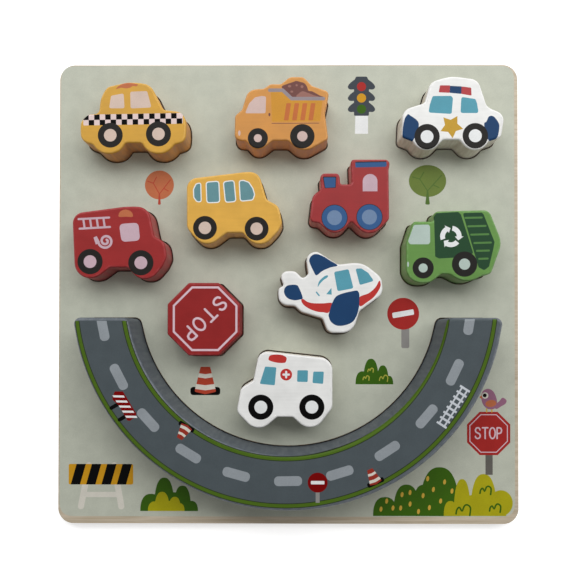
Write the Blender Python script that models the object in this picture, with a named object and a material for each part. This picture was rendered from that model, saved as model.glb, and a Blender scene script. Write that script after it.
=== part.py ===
"""Balancing puzzle: a square wooden tray, ten chunky picture blocks and a half-ring rocker.

Lengths are metres, +Z is up, and the origin is the middle of the tray's underside. The tray is
a backing board with a pierced board glued on top, whose cut-outs are the pockets that the blocks
and the rocker stand in. The blocks' outlines are drawn in units of a millimetre, as the flat
side views that a fretsaw follows, and each corner is written (x, y, radius).
"""
import math

import bpy
from mathutils import Vector

# The rocker, a half ring of road that the blocks are stacked on once it is lifted out
ROCKER_INNER_RADIUS = 0.098
ROCKER_WIDTH = 0.0335
ROCKER_THICKNESS = 0.030
ROCKER_EDGE = 0.002
ROCKER_CORNER = 0.004
ROCKER_DROP = 0.002
ROCKER_END_DROP = 0.0145

# The tray, a square that leaves a margin beside the rocker
EDGE_MARGIN = 0.0185
TRAY_CORNER = 0.010
BACK_THICKNESS = 0.003
FRAME_THICKNESS = 0.004
GLUE_GAP = 0.0003

# The blocks and their fit in the pockets
BLOCK_THICKNESS = 0.020
BLOCK_EDGE = 0.0012
POCKET_CLEARANCE = 0.0007
SEAT_GAP = 0.0003
SIGN_WIDTH = 0.0455
SIGN_CORNER = 0.002

# The finishes, from satin paint to sanded plywood
PAINT_ROUGHNESS = 0.45
ROAD_ROUGHNESS = 0.5
PRINT_ROUGHNESS = 0.5
PLYWOOD_ROUGHNESS = 0.6

# The length of one unit in the blocks' drawings, the most degrees that one corner of a lobe turns
# through, and how finely an arc is divided
DRAWING_UNIT = 0.001
LOBE_STEP = 60
ARC_ERROR = 0.00015
ARC_STEP = math.radians(30)

# Values that follow from the sizes above
ROCKER_OUTER_RADIUS = ROCKER_INNER_RADIUS + ROCKER_WIDTH
TRAY_SIDE = 2 * (ROCKER_OUTER_RADIUS + EDGE_MARGIN)
FRAME_BOTTOM = BACK_THICKNESS + GLUE_GAP
POCKET_FLOOR = BACK_THICKNESS + SEAT_GAP


def lobe(x, y, radius, start, end):
    """Corners that round a drawing about a wheel, from one bearing in degrees to another."""
    steps = math.ceil((end - start) / LOBE_STEP)
    half = math.radians((end - start) / steps / 2)
    turns = [math.radians(start) + half * (2 * step + 1) for step in range(steps)]
    reach = radius / math.cos(half)
    return [(x + reach * math.cos(turn), y + reach * math.sin(turn), radius) for turn in turns]


TAXI = [
    (-21.8, 3.0, 3), (-28.6, 2.5, 6), (-33.2, -2.2, 6), (-33.2, -14.0, 6), (-25.4, -16.6, 2.5),
    *lobe(-15.5, -11.0, 11.3, 217, 333), (-5.1, -15.5, 2.5), (5.4, -15.5, 2.5),
    *lobe(15.8, -11.0, 11.3, 207, 323), (25.7, -16.6, 2.5), (32.7, -14.4, 5), (33.4, -3.5, 20),
    (31.0, 3.9, 7), (18.6, 5.3, 4), (10.5, 21.7, 9), (-3.1, 22.8, 20), (-16.7, 19.8, 6),
    (-20.6, 13.0, 14),
]
DUMP_TRUCK = [
    (-25.0, 2.4, 3), (-29.4, -1.4, 3), (-29.7, -16.7, 4), (-22.5, -17.3, 2), (-16.0, -25.2, 7),
    (-5.9, -17.1, 3), (3.8, -17.1, 3), (13.0, -25.1, 10), (29.1, -16.1, 3), (26.9, 0.2, 12),
    (29.7, 13.6, 3), (18.8, 17.4, 3), (13.5, 23.0, 4), (5.0, 23.0, 5), (-0.6, 18.5, 3),
    (-7.2, 18.5, 4), (-11.6, 15.6, 3), (-21.3, 15.0, 7),
]
POLICE_CAR = [
    (-17.4, 6.6, 3), (-31.0, 2.3, 7), (-31.8, -14.8, 3), (-24.8, -17.4, 2),
    *lobe(-16.2, -13.4, 9.4, 212, 318), (-6.0, -16.5, 3), (4.4, -16.5, 3),
    *lobe(14.1, -13.4, 9.4, 222, 325), (22.6, -17.4, 2.5), (30.4, -14.9, 4), (32.7, -0.6, 6),
    (21.7, 4.1, 6), (16.1, 21.3, 7), (-0.2, 23.5, 20), (-13.6, 20.0, 7),
]
FIRE_ENGINE = [
    (-29.7, 18.5, 7), *lobe(-18.4, -11.9, 10.1, 186, 308), (-5.9, -15.3, 3), (5.6, -15.3, 3),
    *lobe(15.1, -12.3, 10.3, 228, 326), (27.0, -14.6, 5), (29.8, -8.8, 6), (28.2, 1.2, 7),
    (21.9, 3.9, 3), (17.9, 22.9, 8.5), (3.4, 22.9, 30),
]
BUS = [
    (-29.8, 18.3, 7), (-29.6, -12.6, 7), *lobe(-17.2, -11.9, 10.5, 228, 308), (-4.6, -15.5, 3),
    (5.4, -15.5, 3), *lobe(15.4, -12.2, 10.4, 228, 318), (27.2, -15.0, 6), (30.2, -9.8, 6),
    (28.0, 1.4, 7), (20.5, 5.1, 4), (15.1, 22.8, 7), (6.7, 22.7, 20),
]
LOCOMOTIVE = [
    (0.4, 23.0, 2), (0.9, 7.4, 1.5), (-6.2, 7.4, 1.5), (-6.8, 14.3, 2.5), (-19.0, 14.3, 3),
    (-18.1, 4.2, 3), (-23.6, 0.4, 6), (-25.5, -16.0, 3), (-19.5, -16.7, 4), (-8.9, -26.6, 8.5),
    (0.7, -15.7, 1.5), (12.1, -26.8, 9), (24.4, -14.6, 4), (24.1, 16.7, 3), (25.4, 23.0, 3),
]
RECYCLING_TRUCK = [
    (-25.2, 15.6, 2.5), (-29.6, 1.9, 6), (-29.6, -22.8, 9.5), (-14.6, -22.8, 8),
    (-7.7, -17.3, 3), (-2.7, -17.3, 4), (8.1, -23.3, 13), (18.0, -18.3, 4), (23.3, -17.2, 4),
    (30.5, 2.3, 14), (22.2, 22.8, 5), (-11.8, 21.9, 3), (-12.7, 15.5, 1.5),
]
AEROPLANE = [
    (-7.9, 25.4, 5), (-16.0, 25.4, 6), (-13.8, 11.6, 2), (-17.3, 8.5, 2), (-22.0, 13.3, 4),
    (-32.7, 13.3, 4), (-29.2, 4.1, 1.5), (-32.6, 2.9, 3), (-32.6, -7.9, 6), (-22.3, -8.3, 4),
    (-18.5, -12.1, 8), (-4.9, -16.2, 2.5), (-1.3, -25.3, 5), (13.7, -25.3, 9),
    (18.1, -11.8, 3), (32.8, -0.9, 6.5), (31.9, 9.4, 8), (19.7, 19.1, 15), (4.6, 17.4, 5),
]
AMBULANCE = [
    (-16.3, 24.3, 6), (-20.0, 5.8, 2), (-27.8, 1.1, 5), (-30.4, -13.6, 5), (-17.3, -27.2, 9.5),
    (-5.0, -16.9, 2), (4.7, -16.9, 2), (16.6, -27.8, 9.5), (29.5, -11.1, 6), (29.5, 19.4, 8),
]


def in_metres(drawing):
    """A drawing's corners, turned from its units to metres."""
    return [tuple(value * DRAWING_UNIT for value in corner) for corner in drawing]


def octagon(width, corner):
    """The corners of a regular octagon that stands on a flat side."""
    reach = width / 2 / math.cos(math.pi / 8)
    turns = [math.pi * (2 * side + 1) / 8 for side in range(8)]
    return [(reach * math.cos(turn), reach * math.sin(turn), corner) for turn in turns]


def square(side, corner):
    """The corners of a square about the origin."""
    half = side / 2
    return [(x, y, corner) for x, y in ((half, half), (-half, half), (-half, -half), (half, -half))]


def with_neighbours(items):
    """Each item of a closed list, between the one before it and the one after it."""
    return zip(items[-1:] + items[:-1], items, items[1:] + items[:1])


def arc(centre, radius, start, end):
    """Points along an arc, both ends included, close enough to keep within the arc error."""
    finest = 2 * math.acos(1 - min(ARC_ERROR / radius, 1))
    steps = math.ceil(abs(end - start) / min(finest, ARC_STEP))
    turns = [start + (end - start) * step / steps for step in range(steps + 1)]
    return [Vector(centre) + radius * Vector((math.cos(turn), math.sin(turn))) for turn in turns]


def grown(corners, clearance):
    """Move an outline's sides outwards by a clearance: round corners widen, hollow ones tighten."""
    result = []
    for before, corner, after in with_neighbours(corners):
        here = Vector(corner[:2])
        side_in = (here - Vector(before[:2])).normalized()
        side_out = (Vector(after[:2]) - here).normalized()
        normals = Vector((side_in.y + side_out.y, -side_in.x - side_out.x))
        here += normals * clearance / (1 + side_in.dot(side_out))
        if side_in.cross(side_out) < 0:
            radius = max(corner[2] - clearance, clearance)
        else:
            radius = corner[2] + clearance
        result.append((here.x, here.y, radius))
    return result


def rounded(corners):
    """The points of an outline whose corners are rounded, each as far as its sides have room for."""
    places = [Vector(corner[:2]) for corner in corners]
    half_angles = []
    reaches = []
    for (before, here, after), corner in zip(with_neighbours(places), corners):
        half_angles.append((before - here).angle(after - here) / 2)
        reaches.append(corner[2] / math.tan(half_angles[-1]))
    points = []
    for i, (before, here, after) in enumerate(with_neighbours(places)):
        room_before = (here - before).length / (reaches[i - 1] + reaches[i])
        room_after = (after - here).length / (reaches[i] + reaches[(i + 1) % len(reaches)])
        radius = min(1, room_before, room_after) * reaches[i] * math.tan(half_angles[i])
        inwards = (before - here).normalized() + (after - here).normalized()
        centre = here + inwards.normalized() * radius / math.sin(half_angles[i])
        turn = math.copysign(math.pi - 2 * half_angles[i], (here - before).cross(after - here))
        middle = math.atan2(here.y - centre.y, here.x - centre.x)
        points += arc(centre, radius, middle - turn / 2, middle + turn / 2)
    return without_repeats(points)


def without_repeats(points):
    """Drop each point of a closed outline that lies on the one after it, or as good as on it."""
    following = points[1:] + points[:1]
    return [point for point, after in zip(points, following) if (point - after).length > 2 * ARC_ERROR]


def rocker_outline(clearance):
    """The half ring about its own centre: level ends, rounded corners, open towards +Y."""
    depth = -ROCKER_END_DROP - ROCKER_CORNER
    outer_x = math.sqrt((ROCKER_OUTER_RADIUS - ROCKER_CORNER) ** 2 - depth ** 2)
    inner_x = math.sqrt((ROCKER_INNER_RADIUS + ROCKER_CORNER) ** 2 - depth ** 2)
    outer_dip = math.atan2(depth, outer_x)
    inner_dip = math.atan2(depth, inner_x)
    corner = ROCKER_CORNER + clearance
    up = math.pi / 2
    points = arc((0, 0), ROCKER_OUTER_RADIUS + clearance, math.pi - outer_dip, 2 * math.pi + outer_dip)
    points += arc((outer_x, depth), corner, outer_dip, up)
    points += arc((inner_x, depth), corner, up, math.pi + inner_dip)
    points += arc((0, 0), ROCKER_INNER_RADIUS - clearance, 2 * math.pi + inner_dip, math.pi - inner_dip)
    points += arc((-inner_x, depth), corner, -inner_dip, up)
    points += arc((-outer_x, depth), corner, up, math.pi - outer_dip)
    return without_repeats(points)


def linear(hex_colour):
    """An sRGB hex colour as the linear values that a shader takes."""
    values = [int(hex_colour[i:i + 2], 16) / 255 for i in (0, 2, 4)]
    return [v / 12.92 if v <= 0.04045 else ((v + 0.055) / 1.055) ** 2.4 for v in values] + [1]


def paint(name, hex_colour, roughness):
    """A painted or printed wood finish."""
    material = bpy.data.materials.new(name)
    material.use_nodes = True
    shader = material.node_tree.nodes["Principled BSDF"]
    shader.inputs["Base Color"].default_value = linear(hex_colour)
    shader.inputs["Roughness"].default_value = roughness
    shader.inputs["Metallic"].default_value = 0
    return material


def board(name, outlines, place, bottom, thickness, edge, material):
    """A piece sawn from board: outlines (the first one outside, the others cut out), with its
    upper and lower rims eased by an edge."""
    drawing = bpy.data.curves.new(name, "CURVE")
    drawing.dimensions = "2D"
    drawing.fill_mode = "BOTH"
    drawing.extrude = thickness / 2 - edge
    drawing.bevel_depth = edge
    drawing.bevel_resolution = 0
    drawing.offset = -edge
    for outline in outlines:
        spline = drawing.splines.new("POLY")
        spline.points.add(len(outline) - 1)
        for point, target in zip(outline, spline.points):
            target.co = (point[0], point[1], 0, 1)
        spline.use_cyclic_u = True
    drawing.materials.append(material)
    piece = bpy.data.objects.new(name, drawing)
    piece.location = (place[0], place[1], bottom + thickness / 2)
    parts.objects.link(piece)
    return piece


def moved(outline, place):
    """An outline carried to its place on the tray."""
    return [point + Vector(place) for point in outline]


for old in list(bpy.data.objects):
    bpy.data.objects.remove(old)
parts = bpy.data.collections.new("balancing_puzzle")
bpy.context.scene.collection.children.link(parts)

# Each block's name, outline, colour and place, as shares of half the tray's side
blocks = [
    ("taxi", in_metres(TAXI), "DEA637", (-0.647, 0.725)),
    ("dump_truck", in_metres(DUMP_TRUCK), "E0913C", (-0.026, 0.745)),
    ("police_car", in_metres(POLICE_CAR), "E1DFE1", (0.685, 0.744)),
    ("fire_engine", in_metres(FIRE_ENGINE), "A02D32", (-0.704, 0.203)),
    ("bus", in_metres(BUS), "E4AC3E", (-0.225, 0.349)),
    ("locomotive", in_metres(LOCOMOTIVE), "A5373C", (0.259, 0.399)),
    ("recycling_truck", in_metres(RECYCLING_TRUCK), "649646", (0.689, 0.189)),
    ("stop_sign", octagon(SIGN_WIDTH, SIGN_CORNER), "8C2328", (-0.351, -0.115)),
    ("aeroplane", in_metres(AEROPLANE), "E1DFE1", (0.177, -0.003)),
    ("ambulance", in_metres(AMBULANCE), "E1DFE1", (-0.011, -0.409)),
]

# The blocks stand on the pocket floors
pockets = []
for name, corners, colour, share in blocks:
    place = (share[0] * TRAY_SIDE / 2, share[1] * TRAY_SIDE / 2)
    finish = paint(name + "_paint", colour, PAINT_ROUGHNESS)
    board(name, [rounded(corners)], place, POCKET_FLOOR, BLOCK_THICKNESS, BLOCK_EDGE, finish)
    pockets.append(moved(rounded(grown(corners, POCKET_CLEARANCE)), place))

# The rocker stands on its own pocket floor
rocker_place = (0, -ROCKER_DROP)
road_grey = paint("road_grey_paint", "50575F", ROAD_ROUGHNESS)
road_shape = [rocker_outline(0)]
board("road_rocker", road_shape, rocker_place, POCKET_FLOOR, ROCKER_THICKNESS, ROCKER_EDGE, road_grey)
pockets.append(moved(rocker_outline(POCKET_CLEARANCE), rocker_place))

# The tray's two boards, the upper one pierced by the pockets
tray_outline = rounded(square(TRAY_SIDE, TRAY_CORNER))
back_wood = paint("bare_plywood", "C8AE86", PLYWOOD_ROUGHNESS)
frame_print = paint("sage_print", "C0C4B2", PRINT_ROUGHNESS)
board("tray_back", [tray_outline], (0, 0), 0, BACK_THICKNESS, 0, back_wood)
board("tray_frame", [tray_outline] + pockets, (0, 0), FRAME_BOTTOM, FRAME_THICKNESS, 0, frame_print)
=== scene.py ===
import math
import bmesh
import bpy
import numpy as np
from mathutils import Matrix, Vector
from mathutils.geometry import delaunay_2d_cdt


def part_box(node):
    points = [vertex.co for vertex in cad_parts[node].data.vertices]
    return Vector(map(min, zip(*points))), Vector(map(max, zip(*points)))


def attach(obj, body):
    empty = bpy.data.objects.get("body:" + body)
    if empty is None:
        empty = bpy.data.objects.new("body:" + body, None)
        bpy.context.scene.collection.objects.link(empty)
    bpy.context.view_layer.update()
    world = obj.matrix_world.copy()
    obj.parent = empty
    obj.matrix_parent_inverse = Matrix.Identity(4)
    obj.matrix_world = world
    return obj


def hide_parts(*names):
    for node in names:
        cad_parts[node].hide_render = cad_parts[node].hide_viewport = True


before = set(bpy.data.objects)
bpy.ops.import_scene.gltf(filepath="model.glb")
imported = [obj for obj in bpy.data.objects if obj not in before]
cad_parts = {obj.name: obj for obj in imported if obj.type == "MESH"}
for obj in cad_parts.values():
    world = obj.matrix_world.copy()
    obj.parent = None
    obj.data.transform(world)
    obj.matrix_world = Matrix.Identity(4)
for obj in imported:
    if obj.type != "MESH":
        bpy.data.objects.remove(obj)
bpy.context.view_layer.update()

# The backing board. A thin sheet of three-ply birch plywood, sawn square with
# rounded corners, that closes the pockets from below. Its face shows as the
# bare floor of every pocket and its plies show round the edge of the tray.
MM = 0.001
MERGED = 0.001 * MM
UPRIGHT = 0.1  # a wall's normal has less than this of Z
ARC_STEP = math.radians(5)
STRAIGHT_RATIO = 2.5  # a chord so many times as long as the next one is a straight side


def cad_outlines(node):
    """The upright walls of a CAD node in plan: closed loops in mm about the node's middle, longest first."""
    low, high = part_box(node)
    middle = Vector([(low[axis] + high[axis]) / 2 for axis in range(3)])
    shell = bmesh.new()
    shell.from_mesh(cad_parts[node].data)
    bmesh.ops.remove_doubles(shell, verts=shell.verts, dist=MERGED)
    neighbours = {}
    for edge in shell.edges:
        walls = [abs(face.normal.z) < UPRIGHT for face in edge.link_faces]
        first, second = edge.verts
        if walls[0] != walls[1] and min(first.co.z, second.co.z) > middle.z:
            neighbours.setdefault(first, []).append(second)
            neighbours.setdefault(second, []).append(first)
    loops = []
    while neighbours:
        corner = next(iter(neighbours))
        loop = []
        while corner is not None:
            loop.append(((corner.co - middle) / MM).xy)
            onward = neighbours.pop(corner)
            corner = next((other for other in onward if other in neighbours), None)
        loops.append(smooth_arcs(anticlockwise(loop)))
    shell.free()
    loops.sort(key=lambda loop: -signed_area(loop))
    return loops, Vector((middle.x / MM, middle.y / MM))


def signed_area(loop):
    return sum(loop[i - 1].cross(loop[i]) for i in range(len(loop))) / 2


def anticlockwise(loop):
    loop = [Vector(point) for point in loop]
    return loop if signed_area(loop) > 0 else loop[::-1]


def smooth_arcs(loop):
    """Draws the chords of a CAD loop as the arcs that they stand for."""
    count = len(loop)
    chords = [loop[(i + 1) % count] - loop[i] for i in range(count)]
    tangents = []
    for i in range(count):
        before, after = chords[i - 1], chords[i]
        if before.length > STRAIGHT_RATIO * after.length:
            tangents.append(before.normalized())
        elif after.length > STRAIGHT_RATIO * before.length:
            tangents.append(after.normalized())
        else:
            tangents.append((before.normalized() + after.normalized()).normalized())
    fine = []
    for i in range(count):
        start, end = loop[i], loop[(i + 1) % count]
        leave, arrive = tangents[i] * chords[i].length, tangents[(i + 1) % count] * chords[i].length
        steps = max(1, math.ceil(abs(leave.angle_signed(arrive, 0.0)) / ARC_STEP))
        for k in range(steps):
            t = k / steps
            fine.append(start * (2 * t ** 3 - 3 * t ** 2 + 1) + leave * (t ** 3 - 2 * t ** 2 + t)
                        + end * (3 * t ** 2 - 2 * t ** 3) + arrive * (t ** 3 - t ** 2))
    return fine


def inset_loop(loop, inset, reach_limit=0.5):
    """The loop moved inwards by inset, or outwards where inset is negative.

    reach_limit keeps a sharp corner from running out too far."""
    shifted = []
    for i, point in enumerate(loop):
        before = (point - loop[i - 1]).normalized().orthogonal()
        after = (loop[(i + 1) % len(loop)] - point).normalized().orthogonal()
        inward = (before + after).normalized()
        shifted.append(point + inward * (inset / max(reach_limit, inward.dot(before))))
    return shifted


RIM_STEPS = 5
FLAT_MARGIN = 0.3
KEEP_INSIDE = 1  # the triangulation keeps what lies in a region
SAME_PLACE = 1e-4
ON_OUTLINE = 0.01
SHARP_TURN = math.radians(35)
CREST = 0.4  # where a rim is lightest, from wear and a painted highlight, between its outline and its flat


def printed_solid(name, loops, centre, levels, edge, finishes, prints=()):
    """A sheet cut to loops, in mm, with both rims rounded by edge and flush prints on top.

    finishes are the materials of the top, the outer wall, the underside and the pocket walls.
    Later prints cover earlier ones, and none reaches past the outline."""
    low, high = levels
    top, wall, under, pocket_wall = finishes
    points, rings, regions = [], [], []

    def lay(loop):
        first = len(points)
        points.extend(loop)
        return list(range(first, len(points)))

    for loop in loops:
        regions.append(lay(loop))
    if edge:
        turns = [step * math.pi / 2 / RIM_STEPS for step in range(1, RIM_STEPS + 1)]
        for inset in [edge * (1 - math.cos(turn)) for turn in turns] + [edge + FLAT_MARGIN]:
            ring = lay(inset_loop(loops[0], inset))
            rings.extend(zip(ring, ring[1:] + ring[:1]))
    for _, shape in prints:
        regions.append(lay(anticlockwise(shape)))
    flat, _, triangles, _, _, sources = delaunay_2d_cdt(points, rings, regions, KEEP_INSIDE, SAME_PLACE)
    plan = np.array([point[:] for point in flat])
    starts = np.array([point[:] for point in loops[0]])
    spans = np.roll(starts, -1, axis=0) - starts
    along = np.einsum("pij,ij->pi", plan[:, None] - starts, spans) / np.einsum("ij,ij->i", spans, spans)
    nearest = starts + np.clip(along, 0, 1)[..., None] * spans
    distance = np.linalg.norm(plan[:, None] - nearest, axis=2).min(axis=1)
    drop = np.zeros(len(plan))
    if edge:
        fall = np.clip(edge - distance, 0, edge)
        drop = edge - np.sqrt(edge ** 2 - fall ** 2)
    pockets = set(range(1, len(loops)))
    kept, paints = [], []
    for triangle, source in zip(triangles, sources):
        if 0 in source and not pockets.intersection(source):
            kept.append(tuple(triangle))
            uppermost = max(source) - len(loops)
            paints.append(prints[uppermost][0] if uppermost >= 0 else top)
    half_edges = {(a, b) for t in kept for a, b in zip(t, t[1:] + t[:1])}
    cut = sorted((a, b) for a, b in half_edges if (b, a) not in half_edges)
    used = sorted({corner for triangle in kept for corner in triangle})
    upper = {corner: i for i, corner in enumerate(used)}
    lower = {corner: i + len(used) for i, corner in enumerate(used)}
    places = [(*(flat[c] + centre), high - drop[c]) for c in used]
    places += [(*(flat[c] + centre), low + drop[c]) for c in used]
    faces = [tuple(upper[c] for c in t) for t in kept]
    faces += [tuple(lower[c] for c in t[::-1]) for t in kept]
    faces += [(upper[a], lower[a], lower[b], upper[b]) for a, b in cut]
    paints += [under] * len(kept)
    paints += [wall if max(distance[a], distance[b]) < ON_OUTLINE else pocket_wall for a, b in cut]
    mesh = bpy.data.meshes.new(name)
    mesh.from_pydata([Vector(place) * MM for place in places], [], faces)
    slots = list(dict.fromkeys(paints))
    for paint in slots:
        mesh.materials.append(paint)
    mesh.polygons.foreach_set("material_index", [slots.index(paint) for paint in paints])
    mesh.polygons.foreach_set("use_smooth", [True] * len(faces))
    mesh.set_sharp_from_angle(angle=SHARP_TURN)
    if edge:
        reach = edge + FLAT_MARGIN
        rise, decline = distance / (CREST * reach), (reach - distance) / ((1 - CREST) * reach)
        crest = np.clip(np.minimum(rise, decline), 0, 1)
        wear_and_highlight = mesh.attributes.new("rim", "FLOAT", "POINT")
        wear_and_highlight.data.foreach_set("value", np.tile(crest[used], 2))
    mesh.validate()
    piece = bpy.data.objects.new(name, mesh)
    bpy.context.scene.collection.objects.link(piece)
    return piece


def linear(hex_colour):
    """An sRGB hex colour as linear RGBA."""
    parts = [int(hex_colour[i:i + 2], 16) / 255 for i in (1, 3, 5)]
    return [c / 12.92 if c <= 0.04045 else ((c + 0.055) / 1.055) ** 2.4 for c in parts] + [1.0]


def feed(tree, socket, value):
    """Gives an input a value, or links it from a socket or from a node's first output."""
    if isinstance(value, bpy.types.Node):
        value = value.outputs[0]
    if isinstance(value, bpy.types.NodeSocket):
        tree.links.new(value, socket)
    else:
        socket.default_value = value


def add_node(tree, kind, inputs=None, **settings):
    """Adds a node with its settings, and feeds its inputs."""
    node = tree.nodes.new(kind)
    for key, value in settings.items():
        setattr(node, key, value)
    for key, value in (inputs or {}).items():
        feed(tree, node.inputs[key], value)
    return node


def finish(name, **constants):
    """A new material with its tree, its shader and the piece's own Object coordinates in millimetres."""
    material = bpy.data.materials.new(name)
    material.use_nodes = True
    tree = material.node_tree
    shader = tree.nodes["Principled BSDF"]
    for key, value in constants.items():
        feed(tree, shader.inputs[key.replace("_", " ")], value)
    coordinates = add_node(tree, "ShaderNodeTexCoord")
    scaled = add_node(tree, "ShaderNodeVectorMath", {
        0: coordinates.outputs["Object"], 1: (1 / MM,) * 3}, operation="MULTIPLY")
    return material, tree, shader, scaled


def dress(tree, shader, colour, roughness, height, strength, depth):
    """Links colour, roughness and a bump of that depth in mm to the shader."""
    bump = add_node(tree, "ShaderNodeBump", {"Strength": strength, "Distance": depth * MM, "Height": height})
    feed(tree, shader.inputs["Base Color"], colour)
    feed(tree, shader.inputs["Roughness"], roughness)
    feed(tree, shader.inputs["Normal"], bump)


def plywood(name, face_hex, line_hex, ply_hexes, ply_mm):
    """Birch plywood, sanded and bare: pale satin wood with drawn-out grain on the face, and plies that
    change from pale long grain to darker end grain on the edge."""
    grain_mm = (38, 1.6, 3.0)
    glue_mm = 0.12
    material, tree, shader, place = finish(name, IOR=1.5)
    streaked = add_node(tree, "ShaderNodeVectorMath", {
        0: place, 1: [1 / size for size in grain_mm]}, operation="MULTIPLY")
    grain = add_node(tree, "ShaderNodeTexNoise", {
        "Vector": streaked, "Scale": 1.0, "Detail": 5.0, "Roughness": 0.6, "Distortion": 0.35})
    drawn = add_node(tree, "ShaderNodeMapRange", {"Value": grain, "From Min": 0.36, "From Max": 0.68})
    face = add_node(tree, "ShaderNodeMix", {
        0: drawn, 6: linear(face_hex), 7: linear(line_hex)}, data_type="RGBA")
    height = add_node(tree, "ShaderNodeSeparateXYZ", {0: place})
    ply = add_node(tree, "ShaderNodeMath", {0: height.outputs["Z"], 1: 2 * ply_mm}, operation="MODULO")
    dark = add_node(tree, "ShaderNodeMapRange", {
        "Value": ply, "From Min": ply_mm - glue_mm, "From Max": ply_mm + glue_mm})
    edge_grain = add_node(tree, "ShaderNodeMix", {
        0: dark, 6: linear(ply_hexes[0]), 7: linear(ply_hexes[1])}, data_type="RGBA")
    geometry = add_node(tree, "ShaderNodeNewGeometry")
    upright = add_node(tree, "ShaderNodeSeparateXYZ", {0: geometry.outputs["Normal"]})
    flat = add_node(tree, "ShaderNodeMath", {0: upright.outputs["Z"]}, operation="ABSOLUTE")
    on_face = add_node(tree, "ShaderNodeMapRange", {"Value": flat, "From Min": 0.4, "From Max": 0.6})
    colour = add_node(tree, "ShaderNodeMix", {
        0: on_face, 6: edge_grain.outputs[2], 7: face.outputs[2]}, data_type="RGBA")
    rough = add_node(tree, "ShaderNodeMapRange", {"Value": grain, "To Min": 0.5, "To Max": 0.72})
    dress(tree, shader, colour.outputs[2], rough, grain, strength=0.35, depth=0.06)
    return material


birch_plywood = plywood("birch plywood", "#BDB09C", "#A3957E", ("#BEB29C", "#95866E"), ply_mm=1.0)
back_loops, back_centre = cad_outlines("tray_back")
back_levels = [corner[2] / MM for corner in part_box("tray_back")]
SQUARE_RIM = 0
backing_board = printed_solid("backing_board", back_loops, back_centre, back_levels, SQUARE_RIM,
                              (birch_plywood,) * 4)
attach(backing_board, "tray")
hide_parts("tray_back")

# The printed board. A second sheet of plywood, glued flat on the first, with
# eleven pockets cut out by laser: each cut edge is scorched dark brown. Its face
# is screen printed in pale sage, short of the edge, with trees, signs and bushes.
frame_loops, frame_centre = cad_outlines("tray_frame")
frame_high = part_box("tray_frame")[1][2] / MM


def screen_ink(colour_name, hex_colour, roughness=0.5, gloss=0.12, cloud_mm=9, grit_mm=0.6):
    """Screen-printed ink on sanded wood: matt to satin, an even coat that is a little thinner in spots,
    with the fine grit that the screen leaves. The grit is drawn coarser than the real one, so that it
    shows in the render."""
    material, tree, shader, place = finish(colour_name + " screen ink", IOR=1.48, Specular_IOR_Level=gloss)
    cloud = add_node(tree, "ShaderNodeTexNoise", {"Vector": place, "Scale": 1 / cloud_mm, "Detail": 3.0})
    grit = add_node(tree, "ShaderNodeTexNoise", {"Vector": place, "Scale": 1 / grit_mm, "Detail": 2.0})
    spots = add_node(tree, "ShaderNodeMath", {0: cloud, 1: grit}, operation="ADD")
    shade = add_node(tree, "ShaderNodeMapRange", {
        "Value": spots, "From Min": 0.75, "From Max": 1.25, "To Min": 0.93, "To Max": 1.06})
    colour = add_node(tree, "ShaderNodeVectorMath", {0: linear(hex_colour)[:3], 3: shade}, operation="SCALE")
    rough = add_node(tree, "ShaderNodeMapRange", {
        "Value": spots, "From Min": 0.7, "From Max": 1.3, "To Min": roughness - 0.06,
        "To Max": roughness + 0.08})
    dress(tree, shader, colour, rough, grit, strength=0.18, depth=0.05)
    return material


def streaky_cut(name, hex_colour, other_hex, streak=2.4, roughness=0.62, run_mm=14):
    """The side of a laser or saw cut: matt, in two tones that run in streaks from its top to its foot.
    streak is their width and run_mm their length in mm."""
    material, tree, shader, place = finish(name, IOR=1.45, Specular_IOR_Level=0.3)
    streaked = add_node(tree, "ShaderNodeVectorMath", {
        0: place, 1: (1 / streak, 1 / streak, 1 / run_mm)}, operation="MULTIPLY")
    run = add_node(tree, "ShaderNodeTexNoise", {"Vector": streaked, "Scale": 1.0, "Detail": 4.0})
    patch = add_node(tree, "ShaderNodeMapRange", {"Value": run, "From Min": 0.38, "From Max": 0.66})
    colour = add_node(tree, "ShaderNodeMix", {
        0: patch, 6: linear(hex_colour), 7: linear(other_hex)}, data_type="RGBA")
    rough = add_node(tree, "ShaderNodeMapRange", {
        "Value": run, "To Min": roughness - 0.1, "To Max": roughness + 0.1})
    dress(tree, shader, colour.outputs[2], rough, run, strength=0.4, depth=0.1)
    return material


def disc(x, y, radius, height=None, turn=0.0, steps=48):
    """A round or oval print."""
    lean = Matrix.Rotation(math.radians(turn), 2)
    return [Vector((x, y)) + lean @ Vector((radius * math.cos(a), (height or radius) * math.sin(a)))
            for a in (2 * math.pi * k / steps for k in range(steps))]


def oblong(left, low, right, high):
    """The corners of an upright rectangle."""
    return [(left, low), (right, low), (right, high), (left, high)]


CORNER_STEPS = 6
SIDE_SHARE = 0.48  # the most of a side that one corner takes
SHARPEST = 0.2  # radians


def rounded(corners, radius):
    """A print with straight sides and rounded corners."""
    corners = [Vector(corner) for corner in corners]
    shape = []
    for i, corner in enumerate(corners):
        back = corners[i - 1] - corner
        onward = corners[(i + 1) % len(corners)] - corner
        opening = max(back.angle(onward), SHARPEST)
        cut = min(radius / math.tan(opening / 2), SIDE_SHARE * back.length, SIDE_SHARE * onward.length)
        start, end = corner + back.normalized() * cut, corner + onward.normalized() * cut
        for k in range(CORNER_STEPS + 1):
            t = k / CORNER_STEPS
            shape.append(start * (1 - t) ** 2 + corner * 2 * t * (1 - t) + end * t ** 2)
    return shape


def flowing(points, closed=True, steps=6):
    """A smooth line or outline drawn through its points."""
    points = [Vector(point) for point in points]
    count = len(points)
    shape = []
    for i in range(count if closed else count - 1):
        a = points[i - 1] if closed or i else points[0]
        b, c = points[i], points[(i + 1) % count]
        d = points[(i + 2) % count] if closed or i + 2 < count else points[-1]
        for k in range(steps):
            t = k / steps
            shape.append((b * 2 + (c - a) * t + (a * 2 - b * 5 + c * 4 - d) * t ** 2
                          + (b * 3 - a - c * 3 + d) * t ** 3) / 2)
    return shape if closed else shape + [points[-1]]


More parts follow.
